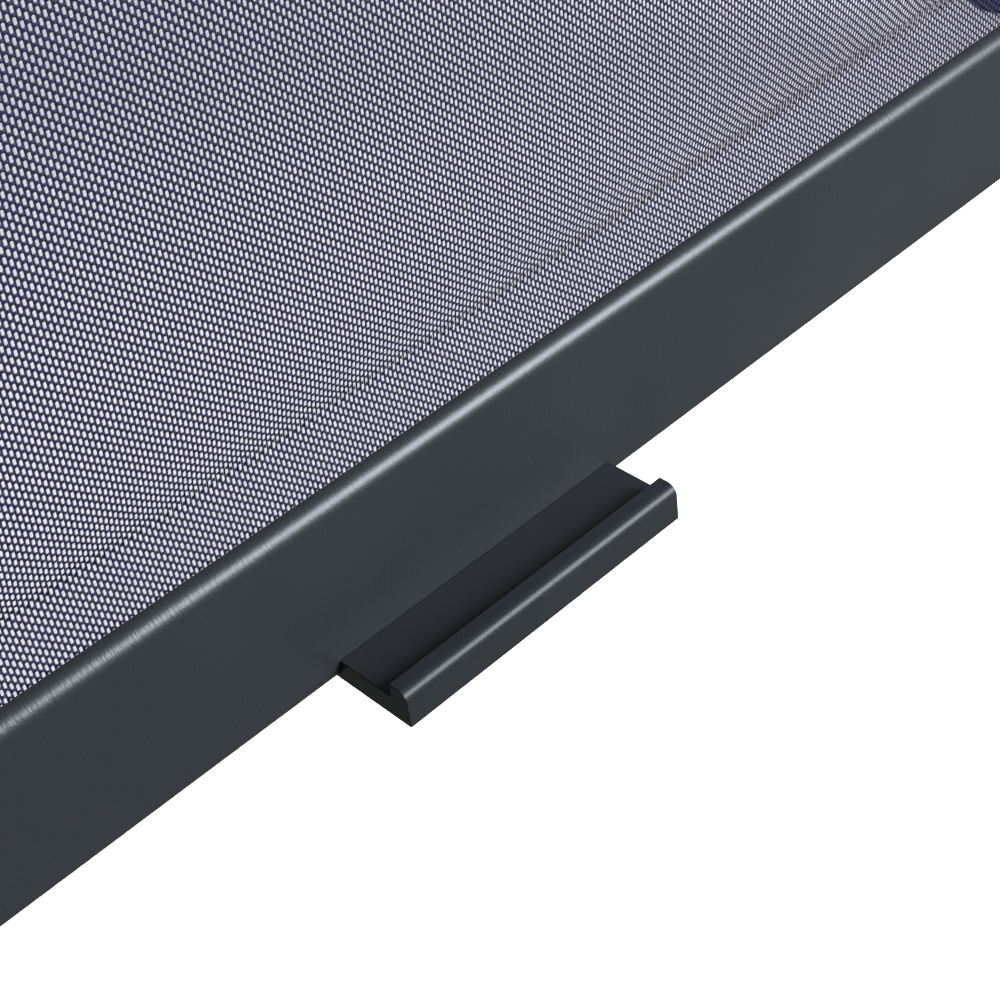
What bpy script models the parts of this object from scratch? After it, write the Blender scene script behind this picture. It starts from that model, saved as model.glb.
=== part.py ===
"""Fireplace screen: a free-standing mesh panel in a mitred steel frame.

Metres, +Z up, front towards -Y. The origin is on the floor under the middle of the screen.
Each frame member is drawn lying on its outer wall: local X along it, local Z up to the opening,
local -Y towards the room. A turn about Y then sets it in its side of the frame.
"""

import math

import bmesh
import bpy
from mathutils import Matrix, Vector

MM = 0.001
GAP = 0.3 * MM  # clearance kept between pieces that touch

# driving dimensions of the frame
FRAME_WIDTH = 780 * MM
FRAME_HEIGHT = 520 * MM
FRAME_DEPTH = 20 * MM
FACE_WIDTH = 51 * MM
SHEET = 1.5 * MM  # pressed steel sheet
EDGE_RADIUS = 4 * MM  # front edge at the outer wall
INNER_RADIUS = 4.4 * MM  # front edge at the opening
BACK_RADIUS = 2 * MM
BACK_RETURN = 8 * MM  # lip turned in along the back of the outer wall
INNER_WALL = 4.6 * MM  # depth of the short wall round the opening
ARC_STEPS = 6

# mesh, gasket and clamp bars, as depths behind the face
MESH_THICK = 0.6 * MM
MESH_DEPTH = INNER_WALL + GAP + MESH_THICK / 2
MESH_TUCK = 11 * MM  # mesh held under the frame past the opening
CREASE_AT = 17 * MM  # the mesh is creased back here, measured in from the frame
CREASE_BACK = 2.2 * MM
BELLY_FORWARD = 3.4 * MM  # and settles this far forward of its edge
BELLY_EASE = 16 * MM  # over a few times this distance
BELLY_STEPS = (5 * MM, 11 * MM, 20 * MM, 36 * MM, 64 * MM)  # mesh lines past the crease
CLAMP_HIGH = 46 * MM  # gasket and clamp bar stop short of the opening
GASKET_WIDTH = 5.8 * MM
BAR_WIDTH = 17 * MM
BAR_THICK = 3 * MM
BAR_FRONT = MESH_DEPTH + MESH_THICK / 2 + GAP

# bosses welded inside the face, and the pan-head screws that go into them
BOSS_RADIUS = 4.2 * MM
BOSS_SINK = 0.5 * MM  # how far a boss runs into the sheet
BOSS_TIP = BAR_FRONT - GAP
PAN_RADIUS = 4 * MM
PAN_THICK = 2.6 * MM
PAN_SHANK = 2 * MM
CLAMP_SCREW_AT = 35.5 * MM  # in from the outer wall
CLAMP_SCREW_END = 78 * MM  # from the member's end
CLAMP_SCREWS_LONG = 4
CLAMP_SCREWS_SHORT = 3
ROUND_SIDES = 12

# corner plates
PLATE_EDGE = 8 * MM  # from the outer walls
PLATE_WIDTH = 19 * MM
PLATE_ARM = 70 * MM
PLATE_SCREW_AT = 56 * MM  # along each arm, from the corner

# pull handle, centred on the bottom rail
HANDLE_LENGTH = 92 * MM
LEDGE_HEIGHT = 5.9 * MM  # heights are from the rail's underside
LEDGE_REACH = 23.7 * MM
LIP_THICK = 5.7 * MM
LIP_HEIGHT = 10.1 * MM
LIP_RADIUS = 3 * MM
LIP_CHAMFER = 0.3 * MM
HANDLE_DROP = 0.8 * MM  # its underside hangs this far below the rail's
TONGUE_LOW = SHEET + GAP
TONGUE_HIGH = 5.1 * MM
TONGUE_LENGTH = 80 * MM
TONGUE_REACH = 15 * MM
HANDLE_SCREW_AT = 26 * MM  # either side of the middle
HANDLE_SCREW_DEPTH = 10 * MM
SCREW_RADIUS = 2 * MM
SCREW_HEAD_RADIUS = 3.8 * MM
SCREW_HEAD_THICK = 2.4 * MM

# feet
FOOT_AT = 360 * MM
FOOT_LENGTH = 200 * MM
FOOT_WIDTH = 30 * MM
FOOT_THICK = 6 * MM
PAD_RADIUS = 11 * MM
PAD_THICK = 4 * MM
PAD_AT = 84 * MM  # either side of the screen's plane
SPACER_LENGTH = 36 * MM
SPACER_DEPTH = 18 * MM
SPACER_HEIGHT = 14 * MM
BOLT_SPREAD = 10 * MM  # each bolt's distance from the foot's middle
BOLT_RADIUS = 3 * MM
BOLT_HEAD_RADIUS = 5 * MM
BOLT_HEAD_THICK = 4 * MM
BOLT_RECESS = 4.2 * MM
NUT_PLATE = (40 * MM, 11 * MM, 4 * MM)

FACE_Y = -FRAME_DEPTH / 2
FOOT_Z = PAD_THICK + GAP
SPACER_Z = FOOT_Z + FOOT_THICK + GAP
RAIL_Z = SPACER_Z + SPACER_HEIGHT + GAP
MID_Z = RAIL_Z + FRAME_HEIGHT / 2
BOLT_Y = FACE_Y + 11 * MM

FINISHES = {
    "powder_coat": ((0.048, 0.052, 0.057), 0.42, 0.0),
    "mesh_black": ((0.012, 0.013, 0.022), 0.4, 0.6),
    "zinc": ((0.55, 0.56, 0.57), 0.35, 1.0),
    "gasket_black": ((0.02, 0.02, 0.02), 0.9, 0.0),
    "rubber": ((0.015, 0.015, 0.015), 0.8, 0.0),
}


def clear_scene():
    for obj in list(bpy.data.objects):
        bpy.data.objects.remove(obj, do_unlink=True)


def make_material(node, finish):
    colour, roughness, metallic = FINISHES[finish]
    material = bpy.data.materials.new(node)
    material.use_nodes = True
    shader = material.node_tree.nodes["Principled BSDF"]
    shader.inputs["Base Color"].default_value = (*colour, 1)
    shader.inputs["Roughness"].default_value = roughness
    shader.inputs["Metallic"].default_value = metallic
    return material


def add_object(name, bm, finish):
    """An object from a bmesh, with its faces turned out."""
    bmesh.ops.recalc_face_normals(bm, faces=bm.faces)
    mesh = bpy.data.meshes.new(name)
    bm.to_mesh(mesh)
    bm.free()
    mesh.materials.append(make_material(name, finish))
    obj = bpy.data.objects.new(name, mesh)
    bpy.context.scene.collection.objects.link(obj)
    return obj


def add_cutter(name, bm, target):
    """Takes a shape out of the target with an exact Boolean."""
    cutter = add_object(name, bm, "zinc")
    cutter.hide_render = True
    cutter.display_type = "WIRE"
    cutter.parent = target
    cut = target.modifiers.new(name, "BOOLEAN")
    cut.operation = "DIFFERENCE"
    cut.solver = "EXACT"
    cut.object = cutter
    return cutter


def add_union(name, bm, target):
    """Adds a shape to the target with an exact Boolean."""
    extra = add_cutter(name, bm, target)
    target.modifiers[name].operation = "UNION"
    return extra


# ---------------------------------------------------------------- shapes


def arc(centre, radius, start, end, steps=ARC_STEPS):
    """Points of an arc in a section, angles in degrees."""
    points = []
    for i in range(steps + 1):
        angle = math.radians(start + (end - start) * i / steps)
        points.append((centre[0] + radius * math.cos(angle), centre[1] + radius * math.sin(angle)))
    return points


def prism(bm, section, end_of):
    """A section of (height, y) points swept along X; end_of(height) is half its length there."""
    ends = []
    for side in (-1, 1):
        ends.append([bm.verts.new((side * end_of(z), y, z)) for z, y in section])
    count = len(section)
    for i in range(count):
        j = (i + 1) % count
        bm.faces.new((ends[0][i], ends[0][j], ends[1][j], ends[1][i]))
    bm.faces.new(ends[0])
    bm.faces.new(ends[1])


def box(bm, low, high):
    """A box between two corners."""
    centre = (Vector(low) + Vector(high)) / 2
    size = Vector(high) - Vector(low)
    bmesh.ops.create_cube(bm, size=1, matrix=Matrix.Translation(centre) @ Matrix.Diagonal((*size, 1)))


def cylinder(bm, base, tip, radius, sides=ROUND_SIDES, tip_radius=None):
    """A cylinder or cone between two points."""
    base, tip = Vector(base), Vector(tip)
    along = tip - base
    turn = along.to_track_quat("Z", "Y").to_matrix().to_4x4()
    bmesh.ops.create_cone(
        bm,
        cap_ends=True,
        segments=sides,
        radius1=radius,
        radius2=radius if tip_radius is None else tip_radius,
        depth=along.length,
        matrix=Matrix.Translation((base + tip) / 2) @ turn,
    )


def turned(bm, base, axis, outline, sides=ROUND_SIDES):
    """A solid of revolution from (distance, radius) steps; it starts and ends on flat faces."""
    turn = Vector(axis).to_track_quat("Z", "Y").to_matrix()
    rings = []
    for distance, radius in outline:
        ring = []
        for i in range(sides):
            angle = 2 * math.pi * i / sides
            local = Vector((radius * math.cos(angle), radius * math.sin(angle), distance))
            ring.append(bm.verts.new(Vector(base) + turn @ local))
        rings.append(ring)
    for lower, upper in zip(rings, rings[1:]):
        for i in range(sides):
            j = (i + 1) % sides
            bm.faces.new((lower[i], lower[j], upper[j], upper[i]))
    bm.faces.new(rings[0])
    bm.faces.new(rings[-1])


# ---------------------------------------------------------------- the four sides

# name of the member, its turn about Y, the middle of its outer wall, its half length
SIDES = {
    "bottom": ("bottom_rail", 0, (0, 0, RAIL_Z), FRAME_WIDTH / 2),
    "right": ("right_stile", -90, (FRAME_WIDTH / 2, 0, MID_Z), FRAME_HEIGHT / 2),
    "top": ("top_rail", 180, (0, 0, RAIL_Z + FRAME_HEIGHT), FRAME_WIDTH / 2),
    "left": ("left_stile", 90, (-FRAME_WIDTH / 2, 0, MID_Z), FRAME_HEIGHT / 2),
}


def side_matrix(side):
    _, angle, middle, _ = SIDES[side]
    return Matrix.Translation(middle) @ Matrix.Rotation(math.radians(angle), 4, "Y")


def clamp_places(side):
    """Even places along one side for its clamp screws."""
    count = CLAMP_SCREWS_LONG if side in ("bottom", "top") else CLAMP_SCREWS_SHORT
    reach = SIDES[side][3] - CLAMP_SCREW_END
    return [-reach + 2 * reach * i / (count - 1) for i in range(count)]


def boss_places(side):
    """(place along the member, height from its outer wall) of each boss: clamp screws, then corners."""
    corner_x = SIDES[side][3] - PLATE_SCREW_AT
    places = [(x, CLAMP_SCREW_AT) for x in clamp_places(side)]
    return places + [(x, PLATE_EDGE + PLATE_WIDTH / 2) for x in (-corner_x, corner_x)]


def rail_section():
    """The pressed section: face in front, deep outer wall with a return, short inner wall."""
    outer, inner, back, t = EDGE_RADIUS, INNER_RADIUS, BACK_RADIUS, SHEET
    y0, y1 = FACE_Y, FACE_Y + FRAME_DEPTH
    # sections are (height from the outer wall, y)
    points = [(BACK_RETURN, y1)]
    points += arc((back, y1 - back), back, 90, 180, 3)
    points += arc((outer, y0 + outer), outer, 180, 270)
    points += arc((FACE_WIDTH - inner, y0 + inner), inner, 270, 360)
    points += [(FACE_WIDTH, y0 + INNER_WALL), (FACE_WIDTH - t, y0 + INNER_WALL)]
    points += arc((FACE_WIDTH - inner, y0 + inner), inner - t, 360, 270)
    points += arc((outer, y0 + outer), outer - t, 270, 180)
    points += arc((back, y1 - back), back - t, 180, 90, 3)
    points += [(BACK_RETURN, y1 - t)]
    return points


def make_rail(side):
    name, angle, middle, half_length = SIDES[side]
    bm = bmesh.new()
    prism(bm, rail_section(), lambda z: half_length - z - GAP / 2)
    rail = add_object(name, bm, "powder_coat")
    bosses, threads = bmesh.new(), bmesh.new()
    for x, z in boss_places(side):
        start, tip = FACE_Y + SHEET, FACE_Y + BOSS_TIP
        cylinder(bosses, (x, start - BOSS_SINK, z), (x, tip, z), BOSS_RADIUS)
        cylinder(threads, (x, start + GAP, z), (x, tip + SHEET, z), PAN_SHANK + GAP)
    add_union(name + "_bosses", bosses, rail)
    add_cutter(name + "_threads", threads, rail)
    rail.location = middle
    rail.rotation_euler = (0, math.radians(angle), 0)
    return rail


def make_gasket(side):
    """Woven glass tape between the frame and the mesh."""
    _, angle, middle, half_length = SIDES[side]
    front = FACE_Y + SHEET + GAP
    back = FACE_Y + MESH_DEPTH - MESH_THICK / 2 - GAP
    low, high = CLAMP_HIGH - GASKET_WIDTH, CLAMP_HIGH
    section = [(low, front), (high, front), (high, back), (low, back)]
    bm = bmesh.new()
    prism(bm, section, lambda z: half_length - z - GAP / 2)
    gasket = add_object("gasket_" + side, bm, "gasket_black")
    gasket.location = middle
    gasket.rotation_euler = (0, math.radians(angle), 0)


def make_clamp_bar(side):
    """A flat bar that presses the mesh forward, drilled for its screws."""
    _, angle, middle, half_length = SIDES[side]
    front = FACE_Y + BAR_FRONT
    back = front + BAR_THICK
    low, high = CLAMP_HIGH - BAR_WIDTH, CLAMP_HIGH
    bm = bmesh.new()
    prism(bm, [(low, front), (high, front), (high, back), (low, back)], lambda z: half_length - z - GAP / 2)
    bar = add_object("clamp_bar_" + side, bm, "powder_coat")
    holes = bmesh.new()
    for x in clamp_places(side):
        start, end = (x, front - BAR_THICK, CLAMP_SCREW_AT), (x, back + BAR_THICK, CLAMP_SCREW_AT)
        cylinder(holes, start, end, PAN_SHANK + GAP)
    add_cutter("clamp_bar_holes_" + side, holes, bar)
    bar.location = middle
    bar.rotation_euler = (0, math.radians(angle), 0)


# ---------------------------------------------------------------- mesh


def mesh_depth(inset):
    """Depth of the mesh's middle behind the face, at a distance in from the frame's opening."""
    if inset <= CREASE_AT:
        return MESH_DEPTH + CREASE_BACK * max(0, inset) / CREASE_AT
    settled = 1 - math.exp(-(inset - CREASE_AT) / BELLY_EASE)
    return MESH_DEPTH + CREASE_BACK - (CREASE_BACK + BELLY_FORWARD) * settled


def mesh_lines(half):
    """Grid lines across the mesh: close together where it bends."""
    insets = [-MESH_TUCK, 0, CREASE_AT] + [CREASE_AT + step for step in BELLY_STEPS]
    steps = [half - FACE_WIDTH - inset for inset in insets]
    return [-s for s in steps] + steps[::-1]


def make_mesh_panel():
    """The mesh as one thin closed sheet, creased along the frame."""
    xs = mesh_lines(FRAME_WIDTH / 2)
    zs = mesh_lines(FRAME_HEIGHT / 2)
    bm = bmesh.new()
    layers = []
    for side in (-1, 1):
        grid = []
        for x in xs:
            column = []
            for z in zs:
                inset = min(FRAME_WIDTH / 2 - abs(x), FRAME_HEIGHT / 2 - abs(z)) - FACE_WIDTH
                y = FACE_Y + mesh_depth(inset) + side * MESH_THICK / 2
                column.append(bm.verts.new((x, y, MID_Z + z)))
            grid.append(column)
        layers.append(grid)
    nx, nz = len(xs), len(zs)
    for grid in layers:
        for i in range(nx - 1):
            for j in range(nz - 1):
                bm.faces.new((grid[i][j], grid[i + 1][j], grid[i + 1][j + 1], grid[i][j + 1]))
    rim = [(i, 0) for i in range(nx)] + [(nx - 1, j) for j in range(1, nz)]
    rim += [(i, nz - 1) for i in range(nx - 2, -1, -1)] + [(0, j) for j in range(nz - 2, 0, -1)]
    front, back = layers
    for (i0, j0), (i1, j1) in zip(rim, rim[1:] + rim[:1]):
        bm.faces.new((front[i0][j0], front[i1][j1], back[i1][j1], back[i0][j0]))
    add_object("mesh_panel", bm, "mesh_black")


# ---------------------------------------------------------------- screws and corner plates


def make_pan_screw(name, place):
    """A pan-head screw into a boss; place is on the face plane, in front of the boss."""
    seat = BAR_FRONT + BAR_THICK + GAP
    outline = [
        (SHEET + 2 * GAP, PAN_SHANK),
        (seat, PAN_SHANK),
        (seat, PAN_RADIUS),
        (seat + PAN_THICK / 2, PAN_RADIUS),
        (seat + PAN_THICK, PAN_RADIUS * 0.7),
    ]
    bm = bmesh.new()
    turned(bm, place, (0, 1, 0), outline)
    return add_object(name, bm, "zinc")


def make_clamp_screws(side):
    for number, x in enumerate(clamp_places(side), 1):
        place = side_matrix(side) @ Vector((x, FACE_Y, CLAMP_SCREW_AT))
        make_pan_screw(f"clamp_screw_{side}_{number}", place)


def corner_screw_places(sx, sz):
    """The two screws of one corner plate: one on each arm."""
    line = PLATE_EDGE + PLATE_WIDTH / 2
    places = []
    for from_side, from_end in ((PLATE_SCREW_AT, line), (line, PLATE_SCREW_AT)):
        x = sx * (FRAME_WIDTH / 2 - from_side)
        places.append(Vector((x, FACE_Y, MID_Z + sz * (FRAME_HEIGHT / 2 - from_end))))
    return places


def make_corner_plate(corner, sx, sz):
    """An L of flat steel that ties two mitred members together behind the face."""
    front = FACE_Y + BAR_FRONT
    back = front + BAR_THICK
    near, far, end = PLATE_EDGE, PLATE_EDGE + PLATE_WIDTH, PLATE_EDGE + PLATE_ARM
    outline = [(near, near), (end, near), (end, far), (far, far), (far, end), (near, end)]
    bm = bmesh.new()
    loops = []
    for y in (front, back):
        loop = []
        for from_side, from_end in outline:
            x = sx * (FRAME_WIDTH / 2 - from_side)
            z = MID_Z + sz * (FRAME_HEIGHT / 2 - from_end)
            loop.append(bm.verts.new((x, y, z)))
        loops.append(loop)
    count = len(outline)
    for i in range(count):
        j = (i + 1) % count
        bm.faces.new((loops[0][i], loops[0][j], loops[1][j], loops[1][i]))
    bm.faces.new(loops[0])
    bm.faces.new(loops[1])
    plate = add_object("corner_plate_" + corner, bm, "zinc")
    holes = bmesh.new()
    for number, place in enumerate(corner_screw_places(sx, sz), 1):
        start, tip = (place.x, front - BAR_THICK, place.z), (place.x, back + BAR_THICK, place.z)
        cylinder(holes, start, tip, PAN_SHANK + GAP)
        make_pan_screw(f"corner_screw_{corner}_{number}", place)
    add_cutter("corner_plate_holes_" + corner, holes, plate)


# ---------------------------------------------------------------- pull handle


def handle_section():
    """Ledge just below the rail's underside, lip turned up; its root follows the rail's round edge."""
    top = LEDGE_HEIGHT
    root = EDGE_RADIUS + GAP
    tip = FACE_Y - LEDGE_REACH
    inner = tip + LIP_THICK
    centre_y = FACE_Y + EDGE_RADIUS
    start = math.degrees(math.asin(EDGE_RADIUS / root))
    points = [(top, FACE_Y - GAP), (top, inner), (LIP_HEIGHT, inner)]
    points += arc((LIP_HEIGHT - LIP_RADIUS, tip + LIP_RADIUS), LIP_RADIUS, 0, -90)
    points += [(LIP_CHAMFER - HANDLE_DROP, tip), (-HANDLE_DROP, tip + LIP_CHAMFER)]
    follow = arc((EDGE_RADIUS, centre_y), root, 180 + (90 - start), 270)
    return points + [(-HANDLE_DROP, follow[0][1])] + follow


def make_handle():
    """Extruded bar whose tongue goes through a slot in the rail's face."""
    bm = bmesh.new()
    prism(bm, handle_section(), lambda z: HANDLE_LENGTH / 2)
    handle = add_object("pull_handle", bm, "powder_coat")
    tongue = bmesh.new()
    low = (-TONGUE_LENGTH / 2, FACE_Y - LEDGE_REACH / 2, TONGUE_LOW)
    box(tongue, low, (TONGUE_LENGTH / 2, FACE_Y + TONGUE_REACH, TONGUE_HIGH))
    add_union("pull_handle_tongue", tongue, handle)
    holes = bmesh.new()
    for x in (-HANDLE_SCREW_AT, HANDLE_SCREW_AT):
        y = FACE_Y + HANDLE_SCREW_DEPTH
        cylinder(holes, (x, y, -FOOT_THICK), (x, y, LEDGE_HEIGHT + FOOT_THICK), SCREW_RADIUS + GAP)
    add_cutter("pull_handle_holes", holes, handle)
    handle.location = SIDES["bottom"][2]


def cut_rail_for_handle(rail):
    """Slot in the face for the tongue, and two screw holes in the underside."""
    cuts = bmesh.new()
    half = TONGUE_LENGTH / 2 + GAP
    box(cuts, (-half, FACE_Y - SHEET, SHEET), (half, FACE_Y + EDGE_RADIUS + SHEET, TONGUE_HIGH + GAP))
    add_cutter("handle_slot", cuts, rail)
    holes = bmesh.new()
    for x in (-HANDLE_SCREW_AT, HANDLE_SCREW_AT):
        y = FACE_Y + HANDLE_SCREW_DEPTH
        cylinder(holes, (x, y, -SHEET), (x, y, SHEET * 1.5), SCREW_RADIUS + GAP)
    add_cutter("handle_screw_holes", holes, rail)


def make_handle_screws():
    """Pan-head screws up through the underside into the tongue."""
    outline = [
        (0, SCREW_HEAD_RADIUS * 0.72),
        (SCREW_HEAD_THICK * 0.5, SCREW_HEAD_RADIUS),
        (SCREW_HEAD_THICK, SCREW_HEAD_RADIUS),
        (SCREW_HEAD_THICK, SCREW_RADIUS),
        (SCREW_HEAD_THICK + GAP + TONGUE_HIGH - 0.2 * MM, SCREW_RADIUS),
    ]
    for number, x in enumerate((-HANDLE_SCREW_AT, HANDLE_SCREW_AT), 1):
        bm = bmesh.new()
        base = (x, FACE_Y + HANDLE_SCREW_DEPTH, RAIL_Z - GAP - SCREW_HEAD_THICK)
        turned(bm, base, (0, 0, 1), outline)
        add_object(f"handle_screw_{number}", bm, "zinc")


# ---------------------------------------------------------------- feet


def stadium(half_length, half_width, steps=8):
    """A bar's outline with round ends, as (x, y) points."""
    points = []
    for sign, start in ((1, 0), (-1, 180)):
        for i in range(steps + 1):
            angle = math.radians(start + 180 * i / steps)
            y = sign * (half_length - half_width) + half_width * math.sin(angle)
            points.append((half_width * math.cos(angle), y))
    return points


def make_foot(name, x):
    """A flat bar across the screen, drilled and counterbored for its bolts."""
    bm = bmesh.new()
    edge = 1 * MM
    rings = []
    for z, inset in ((0, 0), (FOOT_THICK - edge, 0), (FOOT_THICK, edge)):
        outline = stadium(FOOT_LENGTH / 2 - inset, FOOT_WIDTH / 2 - inset)
        rings.append([bm.verts.new((px, py, z)) for px, py in outline])
    count = len(rings[0])
    for lower, upper in zip(rings, rings[1:]):
        for i in range(count):
            j = (i + 1) % count
            bm.faces.new((lower[i], lower[j], upper[j], upper[i]))
    bm.faces.new(rings[0])
    bm.faces.new(rings[-1])
    foot = add_object(name, bm, "powder_coat")
    holes = bmesh.new()
    recesses = bmesh.new()
    for dx in (-BOLT_SPREAD, BOLT_SPREAD):
        cylinder(holes, (dx, BOLT_Y, -FOOT_THICK), (dx, BOLT_Y, 2 * FOOT_THICK), BOLT_RADIUS + GAP)
        cylinder(recesses, (dx, BOLT_Y, -FOOT_THICK), (dx, BOLT_Y, BOLT_RECESS), BOLT_HEAD_RADIUS + GAP)
    add_cutter(name + "_holes", holes, foot)
    add_cutter(name + "_recesses", recesses, foot)
    foot.location = (x, 0, FOOT_Z)


def make_spacer(name, x):
    """A block between foot and rail."""
    bm = bmesh.new()
    half = Vector((SPACER_LENGTH / 2, SPACER_DEPTH / 2, 0))
    box(bm, -half, half + Vector((0, 0, SPACER_HEIGHT)))
    spacer = add_object(name, bm, "powder_coat")
    holes = bmesh.new()
    for dx in (-BOLT_SPREAD, BOLT_SPREAD):
        start = (dx, BOLT_Y, -SPACER_HEIGHT)
        cylinder(holes, start, (dx, BOLT_Y, 2 * SPACER_HEIGHT), BOLT_RADIUS + GAP)
    add_cutter(name + "_holes", holes, spacer)
    spacer.location = (x, 0, SPACER_Z)


def make_nut_plate(name, x):
    """A tapped plate inside the rail that the foot's bolts screw into."""
    length, depth, height = NUT_PLATE
    bm = bmesh.new()
    box(bm, (-length / 2, -depth / 2, 0), (length / 2, depth / 2, height))
    plate = add_object(name, bm, "zinc")
    holes = bmesh.new()
    for dx in (-BOLT_SPREAD, BOLT_SPREAD):
        cylinder(holes, (dx, 0, -height), (dx, 0, 2 * height), BOLT_RADIUS + GAP)
    add_cutter(name + "_holes", holes, plate)
    plate.location = (x, BOLT_Y, RAIL_Z + SHEET + GAP)


def cut_rail_for_feet(rail):
    holes = bmesh.new()
    for x in (-FOOT_AT, FOOT_AT):
        for dx in (-BOLT_SPREAD, BOLT_SPREAD):
            cylinder(holes, (x + dx, BOLT_Y, -SHEET), (x + dx, BOLT_Y, SHEET * 1.5), BOLT_RADIUS + GAP)
    add_cutter("foot_bolt_holes", holes, rail)


def make_foot_bolts(side, x):
    """Button-head bolts, heads sunk in the foot bars."""
    head_z = FOOT_Z + BOLT_RECESS - GAP - BOLT_HEAD_THICK
    end_z = RAIL_Z + SHEET + GAP + NUT_PLATE[2] + 2 * MM
    outline = [
        (0, BOLT_HEAD_RADIUS * 0.9),
        (BOLT_HEAD_THICK * 0.15, BOLT_HEAD_RADIUS),
        (BOLT_HEAD_THICK, BOLT_HEAD_RADIUS),
        (BOLT_HEAD_THICK, BOLT_RADIUS),
        (end_z - head_z, BOLT_RADIUS),
    ]
    for number, dx in enumerate((-BOLT_SPREAD, BOLT_SPREAD), 1):
        bm = bmesh.new()
        turned(bm, (x + dx, BOLT_Y, head_z), (0, 0, 1), outline)
        add_object(f"{side}_foot_bolt_{number}", bm, "zinc")


def make_foot_pads(side, x):
    """Rubber discs under the ends of a foot bar."""
    outline = [(0, PAD_RADIUS - 0.6 * MM), (0.6 * MM, PAD_RADIUS), (PAD_THICK, PAD_RADIUS)]
    for place, y in (("front", -PAD_AT), ("rear", PAD_AT)):
        bm = bmesh.new()
        turned(bm, (x, y, 0), (0, 0, 1), outline, sides=20)
        add_object(f"{side}_foot_pad_{place}", bm, "rubber")


# ---------------------------------------------------------------- assembly


def shade(obj):
    mesh = obj.data
    mesh.shade_smooth()
    mesh.set_sharp_from_angle(angle=math.radians(35))


def build():
    clear_scene()
    rails = {side: make_rail(side) for side in SIDES}
    for side in SIDES:
        make_gasket(side)
        make_clamp_bar(side)
        make_clamp_screws(side)
    make_mesh_panel()

    corners = {"lower_left": (-1, -1), "lower_right": (1, -1), "upper_left": (-1, 1), "upper_right": (1, 1)}
    for corner, (sx, sz) in corners.items():
        make_corner_plate(corner, sx, sz)

    make_handle()
    cut_rail_for_handle(rails["bottom"])
    make_handle_screws()

    for side, x in (("left", -FOOT_AT), ("right", FOOT_AT)):
        make_foot(side + "_foot", x)
        make_spacer(side + "_foot_spacer", x)
        make_nut_plate(side + "_nut_plate", x)
        make_foot_bolts(side, x)
        make_foot_pads(side, x)
    cut_rail_for_feet(rails["bottom"])

    for obj in bpy.data.objects:
        shade(obj)


build()
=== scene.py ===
import math

import bmesh
import bpy
from mathutils import Matrix, Vector


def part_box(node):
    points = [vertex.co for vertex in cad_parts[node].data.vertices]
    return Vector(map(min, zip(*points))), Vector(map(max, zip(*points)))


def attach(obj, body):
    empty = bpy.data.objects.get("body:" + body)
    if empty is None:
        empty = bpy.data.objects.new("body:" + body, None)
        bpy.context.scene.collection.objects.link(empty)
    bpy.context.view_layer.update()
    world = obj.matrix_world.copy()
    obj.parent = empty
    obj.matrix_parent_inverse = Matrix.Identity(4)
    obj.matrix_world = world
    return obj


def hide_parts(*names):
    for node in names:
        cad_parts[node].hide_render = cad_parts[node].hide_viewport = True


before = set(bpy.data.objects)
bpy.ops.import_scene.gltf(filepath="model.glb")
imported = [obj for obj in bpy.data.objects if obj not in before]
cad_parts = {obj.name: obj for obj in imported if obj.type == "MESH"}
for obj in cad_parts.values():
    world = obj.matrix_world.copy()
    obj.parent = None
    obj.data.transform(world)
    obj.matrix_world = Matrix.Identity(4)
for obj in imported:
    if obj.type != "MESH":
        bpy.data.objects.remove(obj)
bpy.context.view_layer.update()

# ---------------------------------------------------------------------------------------------
# Frame members. Four lengths of pressed steel sheet, mitred at the corners: a wide flat face with
# rounded long edges, a deep outer wall with a return, and a short wall round the opening. They are
# powder coated matte charcoal before the mesh goes in, so the coat runs over every edge.

MM = 0.001
SHEET = 1.5 * MM
EDGE_RADIUS = 4 * MM
INNER_RADIUS = 4.4 * MM
BACK_RADIUS = 2 * MM
BACK_RETURN = 8 * MM
INNER_WALL = 4.6 * MM
MITRE_GAP = 0.15 * MM
BOSS_RADIUS = 4.2 * MM
BOSS_LENGTH = 4.0 * MM
BOSS_SIDES = 32
RAIL_BEVEL = 0.2 * MM

rail_low, rail_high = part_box("bottom_rail")
FACE_Y = rail_low.y
BACK_Y = rail_high.y
RAIL_Z = rail_low.z
FACE_WIDTH = rail_high.z - rail_low.z
TOP_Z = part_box("top_rail")[1].z
HALF_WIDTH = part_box("right_stile")[1].x
HALF_HEIGHT = (TOP_Z - RAIL_Z) / 2
MID_Z = (TOP_Z + RAIL_Z) / 2


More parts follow.
